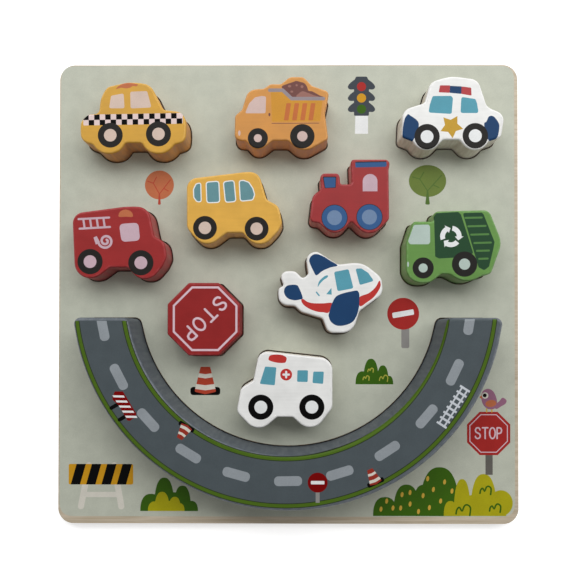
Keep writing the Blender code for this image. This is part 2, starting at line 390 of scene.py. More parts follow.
END_STEPS = 8


def stroke(path, width, reach_limit=0.6):
    """A line of even width with round ends."""
    path = [Vector(point) for point in path]
    sides = []
    for i, point in enumerate(path):
        before = (point - path[i - 1]).normalized() if i else (path[1] - point).normalized()
        after = (path[i + 1] - point).normalized() if i + 1 < len(path) else before
        across = (before.orthogonal() + after.orthogonal()).normalized()
        sides.append(across * (width / 2 / max(reach_limit, across.dot(before.orthogonal()))))
    turns = [Matrix.Rotation(math.pi * k / END_STEPS, 2) for k in range(1, END_STEPS)]
    ends = []
    for point, side in ((path[-1], -sides[-1]), (path[0], sides[0])):
        ends.append([point + turn @ side for turn in turns])
    right = [point - side for point, side in zip(path, sides)]
    left = [point + side for point, side in zip(path, sides)]
    return right + ends[0] + left[::-1] + ends[1]


def moved(shape, x, y, turn=0.0, size=1.0):
    """A shape scaled and turned about zero, then set at x, y."""
    lean = Matrix.Rotation(math.radians(turn), 2)
    return [lean @ Vector(point) * size + Vector((x, y)) for point in shape]


def row_of_marks_tree():
    """Geometry Nodes: like marks set at even steps along a path, each turned along it."""
    tree = bpy.data.node_groups.new("row of printed marks", "GeometryNodeTree")
    for label, kind in (("Path", "Geometry"), ("Marks", "Int"), ("Width", "Float"), ("Height", "Float"),
                        ("Corner", "Float"), ("Lean", "Float"), ("Ink", "Material")):
        tree.interface.new_socket(label, in_out="INPUT", socket_type="NodeSocket" + kind)
    tree.interface.new_socket("Stencil", in_out="OUTPUT", socket_type="NodeSocketGeometry")
    given = add_node(tree, "NodeGroupInput").outputs
    path = add_node(tree, "GeometryNodeMeshToCurve", {"Mesh": given["Path"]})
    places = add_node(tree, "GeometryNodeCurveToPoints", {"Curve": path, "Count": given["Marks"]})
    mark = add_node(tree, "GeometryNodeCurvePrimitiveQuadrilateral", {
        "Width": given["Width"], "Height": given["Height"], "Offset": given["Lean"]}, mode="PARALLELOGRAM")
    eased = add_node(tree, "GeometryNodeFilletCurve", {
        "Curve": mark, "Radius": given["Corner"], "Limit Radius": True, "Count": 6}, mode="POLY")
    filled = add_node(tree, "GeometryNodeFillCurve", {"Curve": eased}, mode="NGONS")
    turned = add_node(tree, "FunctionNodeAlignRotationToVector", {"Vector": places.outputs["Tangent"]},
                      axis="X", pivot_axis="Z")
    marks = add_node(tree, "GeometryNodeInstanceOnPoints", {
        "Points": places, "Instance": filled, "Rotation": turned})
    real = add_node(tree, "GeometryNodeRealizeInstances", {0: marks})
    inked = add_node(tree, "GeometryNodeSetMaterial", {"Geometry": real, "Material": given["Ink"]})
    add_node(tree, "NodeGroupOutput", {0: inked})
    return tree


ROW_OF_MARKS = row_of_marks_tree()


def row_of_marks(ink, path, marks, width, height, corner=0.0, lean=0.0):
    """Runs the row tree along a path in mm and gives its marks as prints in that ink."""
    mesh = bpy.data.meshes.new("stencil path")
    mesh.from_pydata([(*point, 0) for point in path], [(i, i + 1) for i in range(len(path) - 1)], [])
    holder = bpy.data.objects.new("stencil path", mesh)
    bpy.context.scene.collection.objects.link(holder)
    modifier = holder.modifiers.new("row", "NODES")
    modifier.node_group = ROW_OF_MARKS
    values = {"Marks": marks, "Width": width, "Height": height, "Corner": corner, "Lean": lean, "Ink": ink}
    for socket in ROW_OF_MARKS.interface.items_tree:
        if socket.name in values:
            modifier[socket.identifier] = values[socket.name]
    seen = holder.evaluated_get(bpy.context.evaluated_depsgraph_get())
    stencil = bpy.data.meshes.new_from_object(seen)
    prints = []
    for face in stencil.polygons:
        shape = [stencil.vertices[i].co.xy for i in face.vertices]
        prints.append((stencil.materials[face.material_index].original, shape))
    holder.modifiers.remove(modifier)
    bpy.data.objects.remove(holder)
    bpy.data.meshes.remove(mesh)
    bpy.data.meshes.remove(stencil)
    return prints


sage_ink = screen_ink("sage", "#B1B4A6", 0.42)
black_ink = screen_ink("black", "#070707", gloss=0.03)
slate_ink = screen_ink("slate", "#363B42")
white_ink = screen_ink("white", "#D9DBDB")
signal_ink = screen_ink("signal red", "#982421")
cone_ink = screen_ink("cone red", "#A33C28")
orange_ink = screen_ink("orange", "#AE6442")
rust_ink = screen_ink("rust red", "#A5402F")
yellow_ink = screen_ink("yellow", "#BD8917")
grass_ink = screen_ink("grass green", "#607133")
leaf_ink = screen_ink("leaf green", "#305407")
olive_ink = screen_ink("olive", "#9F9812")
hedge_ink = screen_ink("dark green", "#335707")
post_ink = screen_ink("grey", "#84827F")
dark_post_ink = screen_ink("warm grey", "#5C5954")
chalk_ink = screen_ink("chalk", "#C9C5BA")
plum_ink = screen_ink("plum", "#8B5E75")
blush_ink = screen_ink("sign white", "#CBB1BA")
stem_ink = screen_ink("moss green", "#49632A")
lime_ink = screen_ink("lime", "#9C9A3C")
bud_ink = screen_ink("pale gold", "#C29C3C")
scorched_ply = streaky_cut("laser scorched plywood", "#33231A", "#6A4A32", streak=1.5, roughness=0.8)


def octagon(x, y, across):
    """An octagon with a flat side at the top."""
    reach = across / 2 / math.cos(math.pi / 8)
    return [Vector((x + reach * math.cos(a), y + reach * math.sin(a)))
            for a in (math.pi / 8 + k * math.pi / 4 for k in range(8))]


def stop_word(ink, field, x, y, cap, advance, weight, turn=0.0, breadth=1.0):
    """The word of a stop sign in plain round-ended strokes. field fills the letter O."""
    thick = weight / cap
    bend = [
        (0.62, 0.8), (0.52, 0.94), (0.34, 1), (0.13, 0.94), (0.03, 0.77), (0.12, 0.6), (0.34, 0.51),
        (0.56, 0.41), (0.65, 0.24), (0.55, 0.07), (0.33, 0), (0.12, 0.05), (0.02, 0.2)]
    bowl = [(0, 1), (0.3, 1), (0.5, 0.94), (0.58, 0.74), (0.5, 0.54), (0.3, 0.47), (0, 0.47)]
    lines = [
        [flowing(bend, closed=False)], [[(0, 1), (0.68, 1)], [(0.34, 1), (0.34, 0)]], [],
        [[(0, 1), (0, 0)], bowl]]
    letters = []
    for letter in lines:
        letters.append([(ink, stroke([(a * breadth, b) for a, b in line], thick)) for line in letter])
    for paint, grow in ((ink, thick / 2), (field, -thick / 2)):
        letters[2].append((paint, disc(0.34 * breadth, 0.5, 0.36 * breadth + grow, 0.5 + grow)))
    prints = []
    for place, letter in enumerate(letters):
        start = Vector(((place - 1.5) * advance / cap - 0.34 * breadth, -0.5))
        for paint, shape in letter:
            prints.append((paint, moved([point + start for point in shape], x, y, turn, cap)))
    return prints


def no_entry(ink, x, y, radius, post, turn=0.0):
    """A round red sign with a white bar on a grey post."""
    bar = rounded(oblong(-0.68, -0.17, 0.68, 0.17), 0.08)
    return [(post_ink, post), (ink, disc(x, y, radius)), (white_ink, moved(bar, x, y, turn, radius))]


def cone(ink, x, y, height, turn=0.0):
    """A road cone with two white bands on a black foot, its foot at x, y."""
    parts = [
        (black_ink, rounded(oblong(-0.53, 0, 0.53, 0.29), 0.12)),
        (ink, rounded([(-0.38, 0.12), (0, 0.03), (0.38, 0.12), (0.17, 1), (-0.17, 1)], 0.05)),
        (chalk_ink, [(-0.36, 0.22), (0, 0.17), (0.36, 0.22), (0.32, 0.39), (0, 0.35), (-0.32, 0.39)]),
        (chalk_ink, [(-0.26, 0.63), (0, 0.59), (0.26, 0.63), (0.226, 0.77), (0, 0.74), (-0.226, 0.77)])]
    return [(paint, moved(shape, x, y, turn, height)) for paint, shape in parts]


DOME_STEPS = 32
DOME_POWER = 0.82


def bush(ink, base, humps):
    """A hedge of round humps that stand on one line: each is its middle, its top and its half width."""
    dome = []
    for a in (math.pi * k / DOME_STEPS for k in range(DOME_STEPS + 1)):
        across = math.copysign(abs(math.cos(a)) ** DOME_POWER, math.cos(a))
        dome.append(Vector((across, math.sin(a) ** DOME_POWER)))
    prints = []
    for x, top, reach in humps:
        prints.append((ink, [Vector((x + point.x * reach, base + point.y * (top - base))) for point in dome]))
    return prints


def curl(ink, x, y, size, width):
    """A leafy double curl."""
    path = [(0, -0.6), (0.5, 1.6), (1.7, 2.6), (3.0, 0.9), (4.2, 3.3), (5.6, 3.9), (7.2, 2.4), (6.9, -1.4)]
    return [(ink, stroke(flowing(moved(path, x, y, 0, size), closed=False), width))]


def round_tree(ink, wood, x, y, radius, height, foot, trunk):
    """A round tree with a forked trunk and fine branches."""
    forks = [
        [(0, -0.62), (-0.42, 0.12), (-0.2, 0.55)], [(0, -0.62), (0.75, 0.35)], [(-0.42, 0.12), (-0.8, 0.25)],
        [(0.3, -0.24), (0.62, -0.42)]]
    prints = [(ink, disc(x, y, radius, height))]
    for fork in forks:
        prints.append((wood, stroke([(x + a * radius, y + b * height) for a, b in fork], 0.6)))
    top = y - 0.6 * height
    post = [(x - 0.4, top), (x - trunk / 2, foot), (x + trunk / 2, foot), (x + 0.4, top)]
    prints.append((wood, rounded(post, 0.9)))
    return prints


board_prints = [(sage_ink, rounded(oblong(-149.3, -145.4, 147.8, 149.4), 9))]
board_prints += round_tree(orange_ink, rust_ink, -84.5, 71.2, radius=9.5, height=9.5, foot=58.2, trunk=1.9)
board_prints += round_tree(grass_ink, stem_ink, 91.1, 73.8, radius=12.2, height=10.5, foot=58.3, trunk=3.1)
light_post = [(43.6, 104.8), (52.2, 104.8), (52.2, 117), (43.9, 117)]
light_case = [(43, 116.6), (52.8, 116.6), (52.8, 139.6), (51.4, 142.4), (44.4, 142.4), (43, 139.6)]
light_visor = flowing([(3.2, 4.8), (7, 2.7), (8.9, 0.1), (8.1, -1.6), (6, -1.9), (3.2, -1)])
LIGHT_MIDDLE = 47.9
LAMPS = {135.8: signal_ink, 128.3: yellow_ink, 121: leaf_ink}
board_prints += [(white_ink, light_post)]
for lamp in LAMPS:
    for side in (-1, 1):
        visor = [(LIGHT_MIDDLE + side * point.x, lamp + point.y) for point in light_visor]
        board_prints += [(slate_ink, visor)]
board_prints += [(slate_ink, rounded(light_case, 1))]
board_prints += [(glow, disc(LIGHT_MIDDLE, lamp, 3)) for lamp, glow in LAMPS.items()]
board_prints += cone(cone_ink, -54.1, -66.4, 18.5)
board_prints += no_entry(signal_ink, 75.1, -13.1, 10.4, rounded(oblong(73.9, -35.6, 79.1, -15), 1.3), turn=10)
board_prints += bush(leaf_ink, -59.2, [
    (56, -53, 9), (48.6, -50.7, 4.6), (54.1, -42.5, 5), (61.8, -46.8, 3.8), (65.6, -53.6, 3)])
for x, y, size in ((48.9, -55.8, 0.55), (52.0, -50.6, 0.5), (59.6, -56.2, 0.75)):
    board_prints += curl(lime_ink, x, y, size, 0.7)
barrier_legs = [(-130, -112.2), (-135.2, -139)], [(-113.6, -112.2), (-108.8, -139)]
barrier_stripes = [(-137.0, -118.1), (-106.9, -118.1)]
board_prints += [(chalk_ink, stroke(leg, 4)) for leg in barrier_legs]
board_prints += [
    (chalk_ink, oblong(-134.5, -133, -109.7, -129.6)),
    (yellow_ink, rounded(oblong(-143.3, -124.8, -101.1, -111.4), 1.2))]
board_prints += row_of_marks(black_ink, barrier_stripes, marks=4, width=6.1, height=13.4, lean=3.8)
board_prints += bush(leaf_ink, -142, [
    (-77, -129.6, 13), (-89.4, -130.8, 7), (-80.8, -120.2, 6.6), (-68.9, -125.4, 5.6), (-63.2, -135.3, 4.5)])
board_prints += bush(olive_ink, -142, [
    (-78.4, -135.4, 9), (-86.6, -135.7, 4.8), (-82.2, -129.5, 4.8), (-73.9, -132.7, 4), (-71, -136.8, 3.5)])
board_prints += bush(hedge_ink, -144.9, [
    (63.2, -132.6, 7.8), (77.2, -124.4, 8.6), (88, -124.6, 7), (98.7, -113.1, 13)])
BUDS = [
    (91, -120.6), (102, -122.7), (94.7, -127.6), (106.8, -128.6), (79.5, -129.6), (74.3, -131), (88, -131.6),
    (99.4, -135.1), (64.3, -135.2), (79.5, -137.1), (68.4, -139.7), (73.4, -139.7), (92.1, -139.4),
    (85, -141.9), (60.6, -140.4)]
board_prints += [(bud_ink, disc(x, y, 0.95, 1.7, turn=-8, steps=20)) for x, y in BUDS]
board_prints += bush(olive_ink, -144.8, [
    (105.8, -135.1, 4.4), (113.4, -120.8, 5.4), (127.4, -117.5, 8.6), (124, -131, 18)])
board_prints += [(olive_ink, disc(138.6, -136.4, 7.7, 8.4))]
for x, y, size in ((125, -129.4, 1.0), (131.2, -140.9, 1.0), (109.4, -142.6, 1.3)):
    board_prints += curl(hedge_ink, x, y, size, 1.1)
BOARD_SIGN = (130.7, -91.1)
board_prints += [
    (dark_post_ink, oblong(128.6, -118, 133.3, -104)), (signal_ink, octagon(*BOARD_SIGN, 28.2)),
    (blush_ink, octagon(*BOARD_SIGN, 25)), (signal_ink, octagon(*BOARD_SIGN, 23.8))]
board_prints += stop_word(blush_ink, signal_ink, 130.8, -90.9, cap=7, advance=4.75, weight=0.95, breadth=0.72)
bird_tail = [
    (134, -72.4), (137.1, -70.6), (139.8, -67.8), (142.4, -69.6), (141.6, -71.8), (139, -73.4),
    (135.6, -75.2)]
bird_body = [
    (130.4, -62), (133.6, -63.6), (135.6, -67.4), (136.2, -71.8), (134.4, -75), (130.4, -75.2),
    (127.2, -72.4), (126, -68), (127, -63.6)]
bird_beak = [(126.6, -69), (124.6, -67.4), (126.6, -66.2)]
board_prints += [(bud_ink, stroke([(x, -75), (x, -77)], 0.9)) for x in (129.5, 132.8)]
board_prints += [
    (plum_ink, flowing(bird_tail)), (plum_ink, flowing(bird_body)),
    (orange_ink, disc(132.2, -71.6, 3.6, 2.3, turn=8)), (orange_ink, bird_beak),
    (chalk_ink, disc(128.5, -66.4, 2.1)), (black_ink, disc(128.2, -66.3, 1.3))]
SCORCH = 0.2
GLUE_LINE = 0.02
board_prints += [(scorched_ply, inset_loop(loop, -SCORCH)) for loop in frame_loops[1:]]
frame_levels = (back_levels[1] + GLUE_LINE, frame_high)
frame_finishes = (birch_plywood, birch_plywood, birch_plywood, scorched_ply)
printed_board = printed_solid("printed_board", frame_loops, frame_centre, frame_levels, SQUARE_RIM,
                              frame_finishes, board_prints)
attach(printed_board, "tray")
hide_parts("tray_frame")

# The taxi block. Sawn from a 20 mm board, its rims rounded over, sanded and
# sprayed yellow, with only thin overspray on the sides. The checker band, lamp,
# windows and wheels are screen printed flush on the face. It lifts straight out.
BLOCK_RIM = 1.2


def sprayed_paint(name, hex_colour, worn_and_highlit_hex, roughness=0.42):
    """Water-based toy paint sprayed on sanded wood: a satin coat, a little uneven over 12 mm, with the
    grain of the board faint under it and the colour lighter along the rims, partly rubbed thin and partly
    a painted highlight."""
    grain_mm = (26, 1.4, 6)
    cloud_mm, chip_mm, peel_mm = 12, 3.5, 0.9
    material, tree, shader, place = finish(name, IOR=1.5, Specular_IOR_Level=0.18)
    streaked = add_node(tree, "ShaderNodeVectorMath", {
        0: place, 1: [1 / size for size in grain_mm]}, operation="MULTIPLY")
    grain = add_node(tree, "ShaderNodeTexNoise", {"Vector": streaked, "Scale": 1.0, "Detail": 4.0})
    cloud = add_node(tree, "ShaderNodeTexNoise", {"Vector": place, "Scale": 1 / cloud_mm, "Detail": 3.0})
    coat = add_node(tree, "ShaderNodeMath", {0: grain, 1: 0.45, 2: cloud}, operation="MULTIPLY_ADD")
    shade = add_node(tree, "ShaderNodeMapRange", {
        "Value": coat, "From Min": 0.5, "From Max": 0.95, "To Min": 0.92, "To Max": 1.06})
    colour = add_node(tree, "ShaderNodeVectorMath", {0: linear(hex_colour)[:3], 3: shade}, operation="SCALE")
    rim = add_node(tree, "ShaderNodeAttribute", attribute_name="rim")
    chips = add_node(tree, "ShaderNodeTexNoise", {
        "Vector": place, "Scale": 1 / chip_mm, "Detail": 4.0, "Roughness": 0.65})
    thin = add_node(tree, "ShaderNodeMapRange", {
        "Value": chips, "From Min": 0.42, "From Max": 0.68, "To Min": 0.12, "To Max": 0.6})
    # The rims are mixed towards a lighter colour: partly paint rubbed thin, partly a painted highlight on the
    # rounded rim.
    rubbed_and_highlit = add_node(tree, "ShaderNodeMath", {0: rim.outputs["Fac"], 1: thin}, operation="MULTIPLY")
    wear_and_highlight = add_node(tree, "ShaderNodeMix", {0: rubbed_and_highlit, 6: colour, 7: linear(worn_and_highlit_hex)}, data_type="RGBA")
    rough = add_node(tree, "ShaderNodeMapRange", {
        "Value": coat, "From Min": 0.5, "From Max": 0.95, "To Min": roughness - 0.06,
        "To Max": roughness + 0.08})
    peel = add_node(tree, "ShaderNodeTexNoise", {"Vector": place, "Scale": 1 / peel_mm, "Detail": 1.0})
    relief = add_node(tree, "ShaderNodeMath", {0: grain, 1: peel}, operation="ADD")
    dress(tree, shader, wear_and_highlight.outputs[2], rough, relief, strength=0.22, depth=0.06)
    return material


def block_paints(colour, face_hex, worn_and_highlit_hex, side_hex, other_hex):
    """The sprayed face of a block and the thin paint that reached its sawn sides."""
    return (sprayed_paint(colour + " paint", face_hex, worn_and_highlit_hex),
            streaky_cut("thin " + colour + " paint on sawn sides", side_hex, other_hex))


def painted_block(node, face, side, prints):
    """One loose block: the CAD node's outline and height, with its prints on the face."""
    loops, centre = cad_outlines(node)
    levels = [corner[2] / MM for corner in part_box(node)]
    finishes = (face, side, side, side)
    block = printed_solid(node + "_printed", loops, centre, levels, BLOCK_RIM, finishes, prints)
    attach(block, node + "_block")
    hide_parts(node)


def wheels(tyre, hub, *places):
    """Printed wheels: each is its centre, the tyre's radius and the hub's."""
    prints = []
    for x, y, outer, inner in places:
        prints += [(tyre, disc(x, y, outer)), (hub, disc(x, y, inner))]
    return prints


taxi_face, taxi_side = block_paints("taxi yellow", "#C39438", "#E2B86C", "#C8945A", "#B08A66")
rose_ink = screen_ink("rose white", "#C5B0A3")
cream_ink = screen_ink("warm white", "#D4BFBB")
tyre_ink = screen_ink("tyre black", "#181614")
taxi_prints = [
    (orange_ink, flowing([(-10.8, 18), (-8.9, 20.1), (-6.4, 21.5), (-3.3, 22), (-0.2, 21.7), (2.7, 20.9),
        (2, 19.7), (-0.2, 19.9), (-2, 18.8), (-4.5, 18.4), (-7.7, 18.8)])),
    (rose_ink, rounded([(-15.1, 5.9), (-5.4, 5.9), (-6, 15.3), (-13.9, 13.8)], 1.3)),
    (rose_ink, rounded([(-1.6, 5.8), (11.5, 6.4), (8.7, 16.7), (-1.9, 16.3)], 1.3)),
    (cream_ink, rounded([(-31.2, -4.9), (31.1, -3.8), (31.1, 3), (-31.2, 1.9)], 0.8))]
for row in ([(-29.58, 0.2), (25.54, 1.17)], [(-26.14, -3.14), (28.98, -2.17)]):
    taxi_prints += row_of_marks(black_ink, row, marks=9, width=3.445, height=3.37)
taxi_prints += wheels(tyre_ink, rose_ink, (-14.3, -11, 7.8, 3.95), (15.9, -10.2, 7.85, 3.93))
painted_block("taxi", taxi_face, taxi_side, taxi_prints)

# The dump truck block. The same sawn and sprayed board, in orange. The skip with
# its slots, the rail, the load, the cab window and the wheels are printed.
dump_face, dump_side = block_paints("dump truck orange", "#C08542", "#E2AC74", "#CE9468", "#BE8E74")
earth_ink = screen_ink("earth brown", "#68433E")
rubble_ink = screen_ink("rubble brown", "#8C635A")
skip_ink = screen_ink("golden", "#BE8731")
slot_ink = screen_ink("burnt orange", "#B36537")
rail_ink = screen_ink("lilac grey", "#8A8084")
pink_ink = screen_ink("pale rose", "#C2AAA3")
dump_prints = [
    (earth_ink, flowing([(0.1, 16.5), (3.2, 18.1), (7.4, 19.5), (9.2, 20.1), (11.6, 19.5), (14.2, 18.7),
        (15.9, 16.5), (16.8, 14), (18.9, 13.6), (21, 12.6), (23.6, 11.1), (26.2, 9.6), (16, 8.6), (6.4, 9.4),
        (2.2, 13.8)])),
    (rubble_ink, flowing([(9.8, 10), (11, 12.4), (13.2, 13.6), (16.4, 12.6), (20, 11.2), (23.4, 9.8)])),
    (rubble_ink, disc(5, 16.8, 1, 0.8)), (rubble_ink, disc(12.8, 16.5, 0.9)),
    (rubble_ink, disc(6.4, 13.4, 0.9, 0.7)), (rubble_ink, disc(9.4, 17.4, 0.7)),
    (skip_ink, rounded([(-6.7, 13.2), (-6, -5.6), (24.2, -5.2), (25.6, 8), (6.2, 8.3), (1.2, 13.3)], 0.8)),
    (rail_ink, stroke([(-7.4, 14.3), (0.7, 14.3), (6.3, 9), (26.2, 9)], 2.2)),
    (earth_ink, stroke([(-6, -6.5), (23.4, -6.4)], 0.4)),
    (pink_ink, rounded([(-9.7, 10.3), (-12.4, 10.7), (-16.6, 9.8), (-20.2, 6.1), (-22, 1.9), (-22.7, -0.2),
        (-10, -0.2)], 1.2)),
    (pink_ink, disc(-26.4, -12.6, 0.75, 1.7)), (earth_ink, disc(-7.6, -1, 0.6, 1.1))]
dump_prints += row_of_marks(slot_ink, [
    (3.7, 0.75), (19.0, 0.75)], marks=4, width=2.9, height=10.8, corner=0.5, lean=1.6)
dump_prints += wheels(tyre_ink, pink_ink, (-14.8, -15.8, 6.3, 2.5), (13, -14.6, 7.65, 3.2))
painted_block("dump_truck", dump_face, dump_side, dump_prints)

# The police car block. Sprayed white all round, with a printed light bar, teal
# windows, dark blue wings and a five-pointed gold star on the door.
white_face, white_side = block_paints("white", "#DDDDDB", "#ECEAE8", "#DAD4C8", "#C4BBAD")
navy_ink = screen_ink("navy", "#16385E")
teal_ink = screen_ink("teal", "#5292A3")
coral_ink = screen_ink("coral red", "#A53E41")
gold_ink = screen_ink("gold", "#B58F32")


def star(x, y, outer, inner, turn):
    """A five-pointed star."""
    return [Vector((x, y)) + Vector((math.cos(a), math.sin(a))) * (inner if k % 2 else outer)
            for k, a in ((k, math.radians(turn) + k * math.pi / 5) for k in range(10))]


police_prints = [
    (coral_ink, rounded([(-8, 17.3), (-1.7, 17.3), (-2, 12.6), (-8.8, 12.9)], 0.5)),
    (coral_ink, rounded([(5.5, 16.6), (11.5, 15.8), (11.7, 10.8), (5.3, 11.9)], 0.5)),
    (navy_ink, [(-1.7, 17), (5.5, 16.6), (5.3, 11.9), (-2, 12.6)]),
    (teal_ink, rounded([(-12.6, 10.6), (-1, 10.7), (0.1, 9.2), (-0.7, -0.3), (-2, -0.6), (-15.2, 0.2),
        (-14.4, 5.1)], 1.5)),
    (teal_ink, rounded([(5.3, 10.1), (14.1, 8.7), (15.1, 6.1), (16.1, -0.1), (4.8, -0.1)], 1.5)),
    (navy_ink, flowing([(-28.4, -1.1), (-26.8, -1.4), (-21.2, -6.8), (-24.8, -17.2), (-27.7, -16.9),
        (-31.3, -14.6), (-30.5, -5.3)])),
    (navy_ink, flowing([(22.6, -2.2), (25.4, -2.2), (28.3, -5.8), (29, -8.9), (28, -14.6), (25.9, -16.8),
        (21.8, -16.5), (19.5, -7.4), (21, -5.3)])),
    (gold_ink, star(-0.9, -8.4, outer=7.5, inner=4.1, turn=-84))]
police_prints += wheels(tyre_ink, white_ink, (-16.1, -14.8, 7.9, 4), (14, -14.3, 7.95, 4.05))
painted_block("police_car", white_face, white_side, police_prints)

# The fire engine block. Sprayed red, with a pale ladder, a coiled hose, a lamp
# and a window printed on the face.
fire_face, fire_side = block_paints("fire engine red", "#8C2424", "#B25458", "#A84E4E", "#985C56")
lilac_ink = screen_ink("lilac rose", "#BAA0AA")
COIL_STEPS = 40
coil = []
for k in range(COIL_STEPS + 1):
    reach = 4.6 - 3.6 * k / COIL_STEPS
    turn = math.radians(200 + 570 * k / COIL_STEPS)
    coil.append((-8.5 + reach * math.cos(turn), 0.9 + reach * math.sin(turn)))
fire_prints = [
    (lilac_ink, stroke([(-25.5, 14.6), (-6.4, 15.6)], 1.3)),
    (lilac_ink, stroke([(-24.8, 8.6), (-5.8, 9.7)], 1.3)), (lilac_ink, stroke(coil, 1.5)),
    (lilac_ink, rounded([(-16.1, 3.1), (-14.1, 4), (-12, 0.1), (-14.6, -1.4)], 0.4)),
    (orange_ink, flowing([(-0.3, 16.2), (4, 16.1), (8.4, 16.2), (7.5, 19.2), (4, 20.6), (0.5, 19.2)])),
    (lilac_ink, rounded([(-0.2, 11.6), (12, 12.4), (13.1, 1.2), (1.5, 0.3)], 3))]
fire_prints += row_of_marks(lilac_ink, [
    (-22.1, 11.8), (-9.5, 12.4)], marks=4, width=1.3, height=6.0, lean=-0.6)
fire_prints += wheels(tyre_ink, lilac_ink, (-18.2, -12, 7.9, 4), (13.6, -12.7, 7.9, 4))
painted_block("fire_engine", fire_face, fire_side, fire_prints)

# The bus block. Sawn, rounded over and sprayed yellow as the taxi is, with four
# teal windows edged in white printed on its face.
bus_face, bus_side = block_paints("bus yellow", "#CE9E43", "#E6BF76", "#E2B474", "#CCA276")
dusk_ink = screen_ink("grey teal", "#5D858B")
bus_panes = [
    [(-21.2, 15.3), (-20.9, 3.9), (-23.2, 4.2), (-24.9, 6.6), (-25.1, 11.4), (-23.6, 14.6)],
    [(-17.2, 15.7), (-9.9, 16.3), (-9.3, 3.7), (-16.7, 3.4)],
    [(-6.4, 15.9), (-0.4, 16.8), (0.8, 4.2), (-5.1, 3.7)],
    [(3.5, 16.6), (5.8, 16.8), (9, 15.6), (11.4, 12), (12.5, 8.2), (11.5, 5.2), (4.2, 4.4)]]
PANE_EDGE = 0.65
bus_prints = []
for pane in bus_panes:
    glass = rounded(anticlockwise(pane), 1.5)
    bus_prints += [(white_ink, inset_loop(glass, -PANE_EDGE)), (dusk_ink, glass)]
bus_prints += wheels(tyre_ink, rose_ink, (-18.2, -12.6, 7.45, 3.9), (14.1, -13.1, 7.45, 3.85))
painted_block("bus", bus_face, bus_side, bus_prints)

# The locomotive block. Sprayed red, with blue wheels, a blue chimney band, a blue
# roof edge and an arched window.
loco_face, loco_side = block_paints("locomotive red", "#8E2B2C", "#B66064", "#C06A66", "#B27E76")
blue_ink = screen_ink("blue", "#305380")
sky_ink = screen_ink("pale blue", "#677D9B")
loco_prints = [
    (blue_ink, rounded([(3.3, 20.9), (22.8, 21.3), (23, 19), (22.2, 18.2), (3.5, 17.8)], 0.5)),
    (tyre_ink, stroke([(3.6, 21.1), (22.6, 21.5)], 0.55)),
    (tyre_ink, rounded([(-16.9, 12.1), (-8.5, 12.1), (-8.8, 5.1), (-15.7, 4.8)], 0.6)),
    (blue_ink, rounded([(-16.4, 11.6), (-8.9, 11.6), (-9.1, 5.4), (-15.4, 5.1)], 0.6)),
    (lilac_ink, disc(12.6, 9.1, 4.6)), (lilac_ink, oblong(8, 2.9, 17.2, 9.2)),
    (tyre_ink, disc(-9.6, -13.6, 8.2)), (tyre_ink, disc(12.2, -13.2, 8.2))]
loco_prints += wheels(blue_ink, sky_ink, (-9.6, -13.6, 7.85, 4.65), (12.2, -13.2, 7.85, 4.7))
painted_block("locomotive", loco_face, loco_side, loco_prints)

# The recycling truck block. Sprayed light green, with a dark green box and a
# barred tail printed on it, and three white arrows that chase each other round.
recycling_face, recycling_side = block_paints("recycling green", "#5C8541", "#8AAE78", "#7A9C62", "#8A9C70")
bottle_ink = screen_ink("bottle green", "#1E3E26")
mist_ink = screen_ink("mist blue", "#A9B9B1")
bar_ink = screen_ink("mid green", "#4E783F")


def chasing_arrow(radius, width, barb):
    """One of three broad arrows that bend round a ring."""
    outer, inner = radius + width / 2, radius - width / 2
    turns = range(200, 119, -10)
    places = [(outer, turn) for turn in turns] + [(outer + barb, 120), (radius, 92), (inner - barb, 120)]
    places += [(inner, turn) for turn in turns[::-1]]
    return [(reach * math.cos(math.radians(turn)), reach * math.sin(math.radians(turn)))
            for reach, turn in places]


recycling_prints = [
    (bottle_ink, rounded([(-12.2, 18.5), (-10.9, 20.8), (2.8, 21.5), (4.6, 19.9), (12.3, -4.5), (-0.1, -7.1),
        (-9.1, -7.6), (-11.5, -6.4)], 1.2)),
    (bottle_ink, rounded([(5.7, 20.8), (17.7, 21.1), (18.8, 19.8), (25.5, 2.7), (24.7, -1.7), (22, -12.7),
        (19, -14.9), (15.5, -13.1), (13.3, -5.6)], 1.2)),
    (mist_ink, rounded([(-24.7, 13.4), (-15.5, 13.6), (-14.7, 12.3), (-14.6, 2.7), (-15.5, 1.3), (-27.1, 1.3),
        (-28.4, 3.1)], 1.4)),
    (mist_ink, disc(-28.4, -11.2, 0.6, 1.6))]
BARS = [
    ((7.4, 17.8), (17.5, 18)), ((9.2, 12.5), (19.9, 12.8)), ((10.9, 7.3), (21.6, 7.6)),
    ((12.9, 2.1), (23.2, 2.4)), ((14.5, -2.8), (22, -2.6)), ((15.9, -7.8), (21.2, -7.6))]
recycling_prints += [(bar_ink, stroke(ends, 1.2)) for ends in BARS]
arrow = chasing_arrow(radius=5.2, width=3.0, barb=1.2)
recycling_prints += [(white_ink, moved(arrow, -1.7, 6.2, turn)) for turn in (0, 120, 240)]
recycling_prints += wheels(tyre_ink, mist_ink, (-19, -13.5, 6.6, 2.8), (6.8, -11.1, 7.9, 3.5))
painted_block("recycling_truck", recycling_face, recycling_side, recycling_prints)

# The stop sign block. A red octagon with a white line inside its edge and the
# word of the road sign. It lies in its pocket turned away from the viewer.
sign_face, sign_side = block_paints("stop sign red", "#831C1C", "#A94C50", "#7A1216", "#70191C")
SIGN_TURN = -135
sign_prints = [(blush_ink, octagon(0.95, 0.3, 40.4)), (sign_face, octagon(0.95, 0.3, 37.8))]
sign_prints += stop_word(blush_ink, sign_face, 0.5, 0.1, cap=8.4, advance=9, weight=1.35, turn=SIGN_TURN)
painted_block("stop_sign", sign_face, sign_side, sign_prints)
